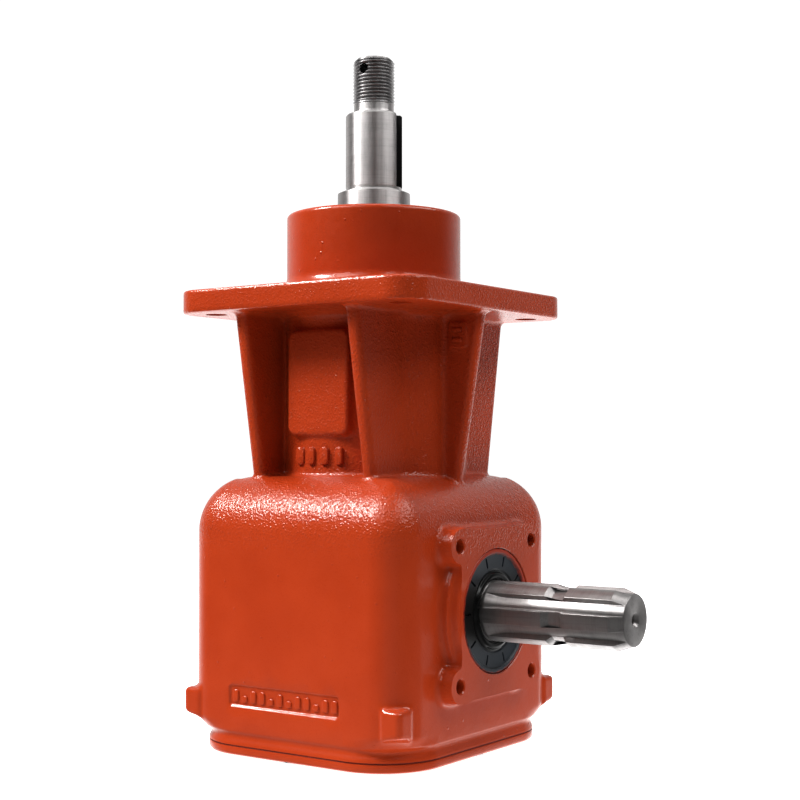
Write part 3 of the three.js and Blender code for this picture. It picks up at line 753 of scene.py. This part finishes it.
def gasket_material():
    """The thin joint sheet, with paint over its edge."""
    m = Nodes("joint_sheet")
    tone = m.mix(m.noise(300, 3), lin(128, 34, 18), lin(84, 24, 14))
    rough = m.span(m.noise(800, 2), 0.3, 0.7, 0.7, 0.9)
    return m.set(Base_Color=tone, Roughness=rough, Normal=m.bump(m.noise(1800, 2), 0.0001, 0.3))


def bore_shade_material():
    """Near-black painted shade for the inside of a keyway or a hole."""
    m = Nodes("painted_shade_bore")
    tone = m.mix(m.noise(300, 3), lin(10, 10, 10), lin(20, 18, 17))
    rough = m.span(m.noise(500, 2), 0.3, 0.7, 0.5, 0.7)
    return m.set(Base_Color=tone, Roughness=rough, Normal=m.bump(m.noise(900, 2), 0.0001, 0.3))


PAINT = paint_material()
STEEL_X = machined_material("shaft_steel_x", "x", (158, 155, 154), (0.34, 0.42), metallic=0.84)
STEEL_Z = machined_material("shaft_steel_z", "z", (190, 187, 186), (0.42, 0.5))
THREAD = machined_material("thread_steel", "z", (154, 152, 152), (0.45, 0.55), 0.6)
BLACK = dark_steel_material()
BEARING = bearing_material()
GEAR = gear_material()
RUBBER = rubber_material()
SEAL_FACE = seal_material()
GASKET = gasket_material()
# Near-black painted shade for the keyway and the cotter hole.
BORE_SHADE = bore_shade_material()

# ---------------------------------------------------------------- the casting


def cut_bores(body):
    """Bearing seats, seal mouths and ring grooves."""
    ring = [(36.1, 73.1), (38, 73.1), (38, 75.7), (36.1, 75.7)]
    mouth = [(36.1, 88.2), (36.7, 88.8), (36.7, 95), (0, 95)]
    front = [(0, 40), (36.1, 40), *ring, *mouth]
    for profile in (front, flipped(front)):
        boolean(body, spin("bore", profile, 96, "x", (0, 0, INPUT_Z)))
    seat = [(0, 140), (42.6, 140), (42.6, 177.3), (39, 177.3), (39, 283.7), (42.6, 283.7)]
    groove = [(42.6, 303.2), (44.6, 303.2), (44.6, 305.8), (42.6, 305.8)]
    top = [(42.6, 319), (44.4, 320.8), (44.4, 330), (0, 330)]
    boolean(body, spin("bore", seat + groove + top, 96))


def cut_faces(body):
    """Machined pad faces and the joint face."""
    slab = [(0, PAD_FACE), (70, PAD_FACE), (70, 99), (0, 99)]
    for profile in (slab, flipped(slab)):
        boolean(body, spin("face", profile, 64, "x", (0, 0, INPUT_Z)))
    boolean(body, swept("face", rect_path(120, 120, 5, 2), [(0, -20), (0, SEAM)]))


def cut_holes(body):
    """Tapped pad holes, flange holes, screw holes and plug ports."""
    for side, y, w in product((1, -1), (HOLE_SQUARE, -HOLE_SQUARE), (HOLE_SQUARE, -HOLE_SQUARE)):
        profile = [(0, 73), (4.1, 75), (4.1, 88), (4.9, 88.8), (4.9, 93), (0, 93)]
        if side < 0:
            profile = flipped(profile)
        boolean(body, spin("hole", profile, 32, "x", (0, y, INPUT_Z + w)))
    drill = [(0, 250), (6.6, 250), (6.6, 280), (0, 280)]
    for x, y in product((FLANGE_HOLE, -FLANGE_HOLE), repeat=2):
        boolean(body, spin("hole", drill, 40, "z", (x, y, 0)))
    tapped = [(0, 60), (7.5, 60), (7.5, 76.9), (9.8, 76.9), (9.8, 86.6)]
    for z in PORTS_Z:
        port = spin("port", tapped + [(10.6, 87.4), (10.6, 92), (0, 92)], 40, "y", (PORT_X, 0, z))
        boolean(body, port)
    for x, y in SCREWS:
        screw = spin("hole", [(0, 0), (3.05, 0), (3.05, 20), (0, 20)], 20, "z", (x, y, 0))
        boolean(body, screw)


# Turns a flat outline so that it faces -Y.
FACE_LEFT = ((1, 0, 0), (0, 0, 1), (0, -1, 0))


def cut_plate(body):
    """Sunken plate low on the left wall."""
    path = rect_path(40.4, 6.5, 2.6, 6)
    walls = [(1.2, 0), (0.5, 0.5), (0, 1.0), (-0.6, 1.25), (-5, 6)]
    place = (-2.2, PLATE_DEPTH - CASE_Y, PLATE_Z)
    boolean(body, swept("plate", path, walls, place, FACE_LEFT))


def make_casting():
    """The painted housing: meshed from its field, then machined."""
    step = 1.1
    verts, quads = surface_net(field_casting, (-93, -91, 1), (93, 91, 324), step)
    body = quad_object("cast_housing", verts, quads)
    thin = body.modifiers.new("thin", "DECIMATE")
    thin.ratio = 0.25
    bake(body)
    cut_faces(body)
    cut_bores(body)
    cut_holes(body)
    cut_plate(body)
    wear(body, PAINT)
    return shade(body, 32)


casting = make_casting()
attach(casting, "case")
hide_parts("housing")


def bar(x, y, z, sx, sy, sz, ease=0.5):
    """A small cast mark with eased edges, standing out from a wall that faces -Y."""
    path = rect_path(sx / 2, sz / 2, min(sx, sz) * 0.42, 4)
    walls = [(0, -1), (0, sy * 0.55), (ease * 0.6, sy * 0.9), (ease * 1.4, sy)]
    return swept("mark", path, walls, (x, y, z), FACE_LEFT)


def make_marks():
    """Plain raised bars and pips where the casting had characters."""
    marks = []
    high, low, pitch = 7.2, 4.0, 6.55
    for i, tall in enumerate((high, low, high, high, low, high, low, high, high, low, high, high)):
        middle = PLATE_Z + (tall - high) / 2
        marks.append(bar(-37.6 + i * pitch, PLATE_DEPTH - CASE_Y, middle, 4.2, 1.0, tall))
    for i, x in enumerate((-14.5, -5, 4.5, 14)):
        depth = math.sqrt(TUBE_R ** 2 - x ** 2)
        marks.append(bar(x, -depth - 0.2, 173.4, 5.4 if i % 2 else 6.4, 1.5, 10.5))
    for z in (TAG_Z - 2.9, TAG_Z + 2.9):
        marks.append(bar(64.4, -5.45, z, 7.4, 0.8, 2.4))
    obj = joined("cast_marks", marks)
    wear(obj, PAINT)
    return shade(obj, 40)


marks = make_marks()
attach(marks, "case")


def make_cover():
    """The flat cover under the case, with a countersink for each screw."""
    profile = [(2.2, 0), (1.0, 0.35), (0.25, 1.1), (0, 2.0), (0, 4.7), (0.12, 5.05), (0.35, 5.2)]
    cover = swept("cover_plate", rect_path(CASE_X, CASE_Y, SUMP_CORNER, 20), profile)
    for x, y in SCREWS:
        sink = [(0, -2), (6.1, -2), (6.1, 0.4), (3.2, 3.2), (3.2, 9), (0, 9)]
        boolean(cover, spin("sink", sink, 32, "z", (x, y, 0)))
    wear(cover, PAINT)
    return shade(cover, 30)


cover = make_cover()
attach(cover, "case")
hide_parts("base_cover")

# ---------------------------------------------------------------- shafts


def spline_cutter(angle):
    """One slot between two lands, with its run-out towards the seal."""
    land, outer, floor = 8.69 / 2, 24.0, 14.55
    start, length, sweep = 89.0, 16.0, 44.0
    stations = [start + 0.2 + 0.88 * k for k in range(20)] + [112, 140, 178]
    verts, rings = [], []
    for x in stations:
        rise = max(0.0, length - (x - start))
        low = floor + sweep - math.sqrt(max(sweep ** 2 - rise ** 2, 0))
        half = math.radians(30)
        a0 = half - math.asin(land / low)
        a1 = half - math.asin(land / outer)
        arc = [a0 * (1 - 2 * k / 6) for k in range(7)]
        ring = [(low, a) for a in arc] + [(outer, -a1), (outer, a1)]
        rings.append([len(verts) + k for k in range(len(ring))])
        for r, a in ring:
            verts.append((x, r * math.cos(a + angle), r * math.sin(a + angle) + INPUT_Z))
    n = len(rings[0])
    faces = [tuple(reversed(rings[0])), tuple(rings[-1])]
    for a, b in zip(rings, rings[1:]):
        for i in range(n):
            j = (i + 1) % n
            faces.append((a[i], a[j], b[j], b[i]))
    return mesh_object("slot", verts, faces)


def make_input_shaft():
    """The splined stub with its step, locking groove and centre hole."""
    points = [
        (0, -73.5), (17.5, -73.5), (17.5, -55.7), (21, -55.7), (21, 21.7), (19, 21.7), (19, 49.7),
        (17.5, 49.7), (17.5, 84.4), (17.65, 86.3), (16.6, 86.6), (16.6, 88.4), (17.46, 88.8),
        (17.46, 126.8), (14.6, 130.2), (14.6, 137.4), (17.46, 139.6), (17.46, 168.3), (14.35, 176.5),
        (0, 176.5),
    ]
    radii = [0, 1, 0.6, 0.5, 0.5, 0.5, 0.5, 0.3, 0, 0.3, 0.2, 0.2, 0.3, 0.3, 0.6, 0.6, 0.3, 0.3, 0.5, 0]
    shaft = spin("input_stub", eased(points, radii, 3), 144, "x", (0, 0, INPUT_Z))
    for k in range(6):
        boolean(shaft, spline_cutter(math.radians(4 + 30 + 60 * k)))
    drill = [(0, 166), (2.6, 168), (2.6, 174.7), (4.6, 176.9), (4.6, 180), (0, 180)]
    boolean(shaft, spin("drill", drill, 32, "x", (0, 0, INPUT_Z)))
    edge = shaft.modifiers.new("edge", "BEVEL")
    edge.width = 0.4 * MM
    edge.segments = 2
    edge.limit_method = "ANGLE"
    edge.angle_limit = math.radians(38)
    edge.use_clamp_overlap = True
    bake(shaft)
    wear(shaft, STEEL_X)
    return shade(shaft, 35)


shaft = make_input_shaft()
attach(shaft, "input_line")
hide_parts("input_shaft")

THREAD_LOW, THREAD_TOP, PITCH = 389.6, 417.0, 2.117
KEY_TURN, HOLE_TURN, HOLE_Z = 15, 4, 410.4


def thread_rings(sides, rows=210):
    """A helical V thread as a height field on a cylinder."""
    crest, root = 12.7, 11.4
    rings = []
    for h in np.linspace(THREAD_LOW, THREAD_TOP, rows):
        ends = min(1, (h - THREAD_LOW) / 2.2) * min(1, (THREAD_TOP + 0.6 - h) / 1.2)
        most = crest - max(0, h - 415.6) * 1.05
        ring = []
        for i in range(sides):
            phase = ((h - THREAD_LOW) / PITCH - i / sides) % 1
            wave = min(max((abs(phase - 0.5) * 2 - 0.12) / 0.76, 0), 1)
            r = min(crest - (crest - root) * (1 - wave) * ends, most)
            ring.append((r * math.cos(TAU * i / sides), r * math.sin(TAU * i / sides), h))
        rings.append(ring)
    return rings


def turned_about_z(obj, degrees, lift=0):
    """Turns a cutter about the output axis and lifts it."""
    place = Matrix.Translation((0, 0, lift * MM))
    obj.data.transform(place @ Matrix.Rotation(math.radians(degrees), 4, "Z"))
    return obj


def make_output_shaft():
    """The stepped shaft with its collar, keyway, helical thread and cotter hole."""
    points = [
        (0, 115.5), (19, 115.5), (19, 117.3), (17.4, 117.3), (17.4, 119.5), (19, 119.5), (19, 151.7),
        (22.5, 151.7), (22.5, 303.3), (21.1, 303.3), (21.1, 305.6), (22.5, 305.6), (22.3, 334.0),
        (17.8, 335.9), (16.7, 336.1), (17.4, 337.9), (17.4, 382.0), (16.4, 383.1), (12.9, 383.5),
        (12.3, 385.2), (12.3, 389.4),
    ]
    radii = [0, 0.8, 0, 0, 0, 0, 0.5, 0.8, 0, 0, 0, 0, 0.3, 0.2, 0.2, 0.2, 0.25, 0.25, 0.7, 0.5, 0]
    sides = 120
    low = profile_rings(eased(points, radii, 3), sides, AXES["z"])
    top = profile_rings([(10.2, 418.0), (0, 418.0)], sides, AXES["z"])
    shaft = lathe("output_stub", low + thread_rings(sides) + top)
    pin = spin("hole", [(0, -20), (3.05, -20), (3.05, 20), (0, 20)], 40, "y")
    boolean(shaft, turned_about_z(pin, HOLE_TURN, HOLE_Z))
    key = swept("key", rect_path(9.5, 5, 0.3, 2), [(0, 337.6), (0, 400)], (12.8 + 9.5, 0, 0))
    boolean(shaft, turned_about_z(key, KEY_TURN))
    # The keyway and the cotter hole wear near-black painted shade.
    wear(shaft, STEEL_Z, BORE_SHADE, THREAD)
    for poly in shaft.data.polygons:
        poly.material_index = output_slot(poly.center / MM)
    return shade(shaft, 28)


def output_slot(c):
    """Which material a face of the output shaft wears: steel, near-black painted shade in the keyway and
    the cotter hole, or thread.
    """
    aim = Vector((math.cos(math.radians(KEY_TURN)), math.sin(math.radians(KEY_TURN)), 0))
    across = Vector((-aim.y, aim.x, 0))
    level = 337.5 < c.z < 384 and c.xy.length < 17.35
    if level and abs(c.dot(across)) < 5.05 and 12.7 < c.dot(aim) < 17.3:
        return 1
    bore = Vector((math.cos(math.radians(HOLE_TURN)), math.sin(math.radians(HOLE_TURN)), 0))
    if abs(c.z - HOLE_Z) < 3.1 and abs(c.dot(bore)) < 3.1 and c.xy.length < 11.3:
        return 1
    return 2 if THREAD_LOW < c.z < 417.2 else 0


output = make_output_shaft()
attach(output, "output_line")
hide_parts("output_shaft")

# ---------------------------------------------------------------- seals


def seal_slot(angle):
    """One moulded slot in the seal's face."""
    slot = swept("slot", rect_path(3.0, 0.65, 0.5, 3), [(0.25, 85.8), (0, 86.1), (-0.2, 90)], (29, 0, 0))
    lay = Matrix(((0, 0, 1, 0), (1, 0, 0, 0), (0, 1, 0, 0), (0, 0, 0, 1)))
    turn = Matrix.Rotation(angle, 4, "Z")
    slot.data.transform(Matrix.Translation((0, 0, INPUT_Z * MM)) @ lay @ turn)
    return slot


def make_input_seal():
    """The seal's moulded face, its lip round the shaft and ten slots."""
    points = [
        (33, 76), (35.8, 76), (35.8, 87.6), (35.3, 88.2), (33.6, 88.2), (33.1, 87.7), (32.8, 87.1),
        (24.4, 87.1), (23.4, 86.5), (22.4, 86.8), (21.6, 88.1), (20.4, 88.5), (19.2, 88.4), (18.3, 87.6),
        (17.85, 86.4), (17.85, 85.4), (19.5, 83), (33, 82),
    ]
    seal = spin("input_seal_ring", eased(points, 0.35, 3), 144, "x", (0, 0, INPUT_Z))
    for k in range(10):
        boolean(seal, seal_slot(TAU * k / 10))
    wear(seal, SEAL_FACE)
    return shade(seal, 30)


seal = make_input_seal()
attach(seal, "case")
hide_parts("input_seal")

# ---------------------------------------------------------------- carried CAD nodes
CARRIED = {
    "gear_steel": GEAR,
    "bearing_steel": BEARING,
    "black_steel": BLACK,
    "seal_rubber": RUBBER,
    "gasket": GASKET,
    "shaft_steel": STEEL_Z,
    "cast_paint": PAINT,
}
for part in frame["record"]["subparts"]:
    obj = frame["nodes"][part["node"]]
    material = CARRIED[part["material_slot"]]
    if not obj.material_slots:
        obj.data.materials.append(material)
    for held in obj.material_slots:
        held.link = "OBJECT"
        held.material = material

# ---------------------------------------------------------------- stage and light


def softbox(name, azimuth, elevation, distance, size, radiance):
    """A soft lamp, placed by its angle right of the camera's side and its height angle."""
    a, e = math.radians(azimuth), math.radians(elevation)
    aim = Vector((0, 0, 0.16))
    way = (RIGHT * math.sin(a) + TOWARD * math.cos(a)) * math.cos(e) + UP * math.sin(e)
    data = bpy.data.lights.new(name, "AREA")
    data.shape = "RECTANGLE"
    data.size, data.size_y = size
    data.energy = radiance * math.pi * size[0] * size[1]
    lamp = bpy.data.objects.new(name, data)
    bpy.context.scene.collection.objects.link(lamp)
    lamp.location = aim + way * distance
    lamp.rotation_euler = (-way).to_track_quat("-Z", "Y").to_euler()


def make_world():
    """Soft grey room: brightest behind the object and underneath, dark towards the camera."""
    world = bpy.data.worlds.new("studio")
    bpy.context.scene.world = world
    world.use_nodes = True
    tree = world.node_tree
    back = tree.nodes["Background"]
    way = tree.nodes.new("ShaderNodeTexCoord").outputs["Generated"]
    strength = None
    for aim, low, high, first, last in ROOM:
        dot = tree.nodes.new("ShaderNodeVectorMath")
        dot.operation = "DOT_PRODUCT"
        tree.links.new(way, dot.inputs[0])
        dot.inputs[1].default_value = aim
        span = tree.nodes.new("ShaderNodeMapRange")
        span.interpolation_type = "SMOOTHSTEP"
        tree.links.new(dot.outputs["Value"], span.inputs["Value"])
        for key, value in (("From Min", low), ("From Max", high), ("To Min", first), ("To Max", last)):
            span.inputs[key].default_value = value
        if strength is None:
            strength = span.outputs[0]
            continue
        times = tree.nodes.new("ShaderNodeMath")
        times.operation = "MULTIPLY"
        tree.links.new(strength, times.inputs[0])
        tree.links.new(span.outputs[0], times.inputs[1])
        strength = times.outputs[0]
    tree.links.new(strength, back.inputs["Strength"])
    back.inputs["Color"].default_value = (1, 1, 1, 1)


def make_bounce(size, radiance):
    """Light thrown back up by the floor; it isn't mirrored in the object."""
    data = bpy.data.lights.new("floor_bounce", "AREA")
    data.shape = "SQUARE"
    data.size = size
    data.energy = radiance * math.pi * size * size
    lamp = bpy.data.objects.new("floor_bounce", data)
    bpy.context.scene.collection.objects.link(lamp)
    lamp.location = (0, 0, CAD_BOX[0][2] - 0.02)
    lamp.rotation_euler = (math.pi, 0, 0)
    lamp.visible_glossy = False
    lamp.visible_camera = False


def unlit_set(name, mesh, material):
    """A set piece that is seen but throws no light back on the object."""
    obj = link(name, mesh)
    obj.data.materials.append(material)
    obj.visible_diffuse = False
    obj.visible_glossy = False
    obj.visible_transmission = False
    obj.visible_shadow = False


def make_floor():
    """Plain pale floor just under the object."""
    m = Nodes("studio_floor")
    tone = m.mix(m.noise(3, 2), (0.93, 0.93, 0.93, 1), (0.95, 0.95, 0.95, 1))
    m.set(Base_Color=tone, Roughness=0.9, Specular_IOR_Level=0.0)
    m.set(Emission_Color=(1, 1, 1, 1), Emission_Strength=0.86)
    low = CAD_BOX[0][2] - 0.0004
    size = 30
    mesh = bpy.data.meshes.new("studio_floor")
    corners = [(-size, -size, low), (size, -size, low), (size, size, low), (-size, size, low)]
    mesh.from_pydata(corners, [], [(0, 1, 2, 3)])
    unlit_set("studio_floor", mesh, m.material)


def make_backdrop():
    """Plain white dome that closes the view above the floor."""
    m = Nodes("studio_backdrop")
    tone = m.mix(m.noise(0.4, 1), (1, 1, 1, 1), (0.98, 0.98, 0.98, 1))
    m.set(Base_Color=(0, 0, 0, 1), Roughness=1.0, Specular_IOR_Level=0.0)
    m.set(Emission_Color=tone, Emission_Strength=1.1)
    verts, faces, rings, sides, radius = [], [], 12, 32, 26
    for k in range(rings + 1):
        up = math.pi * (k / rings - 0.5)
        for i in range(sides):
            turn = TAU * i / sides
            flat = radius * math.cos(up)
            verts.append((flat * math.cos(turn), flat * math.sin(turn), radius * math.sin(up)))
    for k in range(rings):
        for i in range(sides):
            j = (i + 1) % sides
            faces.append((k * sides + j, k * sides + i, (k + 1) * sides + i, (k + 1) * sides + j))
    mesh = bpy.data.meshes.new("studio_backdrop")
    mesh.from_pydata(verts, [], faces)
    mesh.validate()
    unlit_set("studio_backdrop", mesh, m.material)


# Each row: direction, span of its cosine, brightness at the span's two ends.
ROOM = (
    (TOWARD, -0.9, -0.1, 0.80, 0.04),
    (TOWARD, 0.88, 0.97, 1.0, 2.4),
    (UP, -0.3, 0.05, 2.6, 1.0),
    (UP, -0.92, -0.55, 3.6, 1.0),
)
# Each row: name, angle right of the camera, height angle, distance, size, radiance.
LAMPS = (
    ("softbox_key", -80, 42, 1.6, (0.44, 0.38), 52),
    ("softbox_left", -62, 48, 1.5, (1.3, 0.6), 6.4),
    ("softbox_right", 72, 46, 1.5, (1.2, 0.6), 5.8),
    ("softbox_strip_left", -18, 44, 1.5, (0.3, 0.6), 2.0),
    ("softbox_strip_right", 24, 44, 1.5, (0.3, 0.6), 3.6),
    ("softbox_top", 10, 84, 1.5, (0.9, 0.34), 5.0),
)
for row in LAMPS:
    softbox(*row)
make_bounce(0.85, 1.75)
make_world()
make_floor()
make_backdrop()
bpy.context.scene.view_settings.view_transform = "Standard"
bpy.context.scene.view_settings.gamma = 0.85
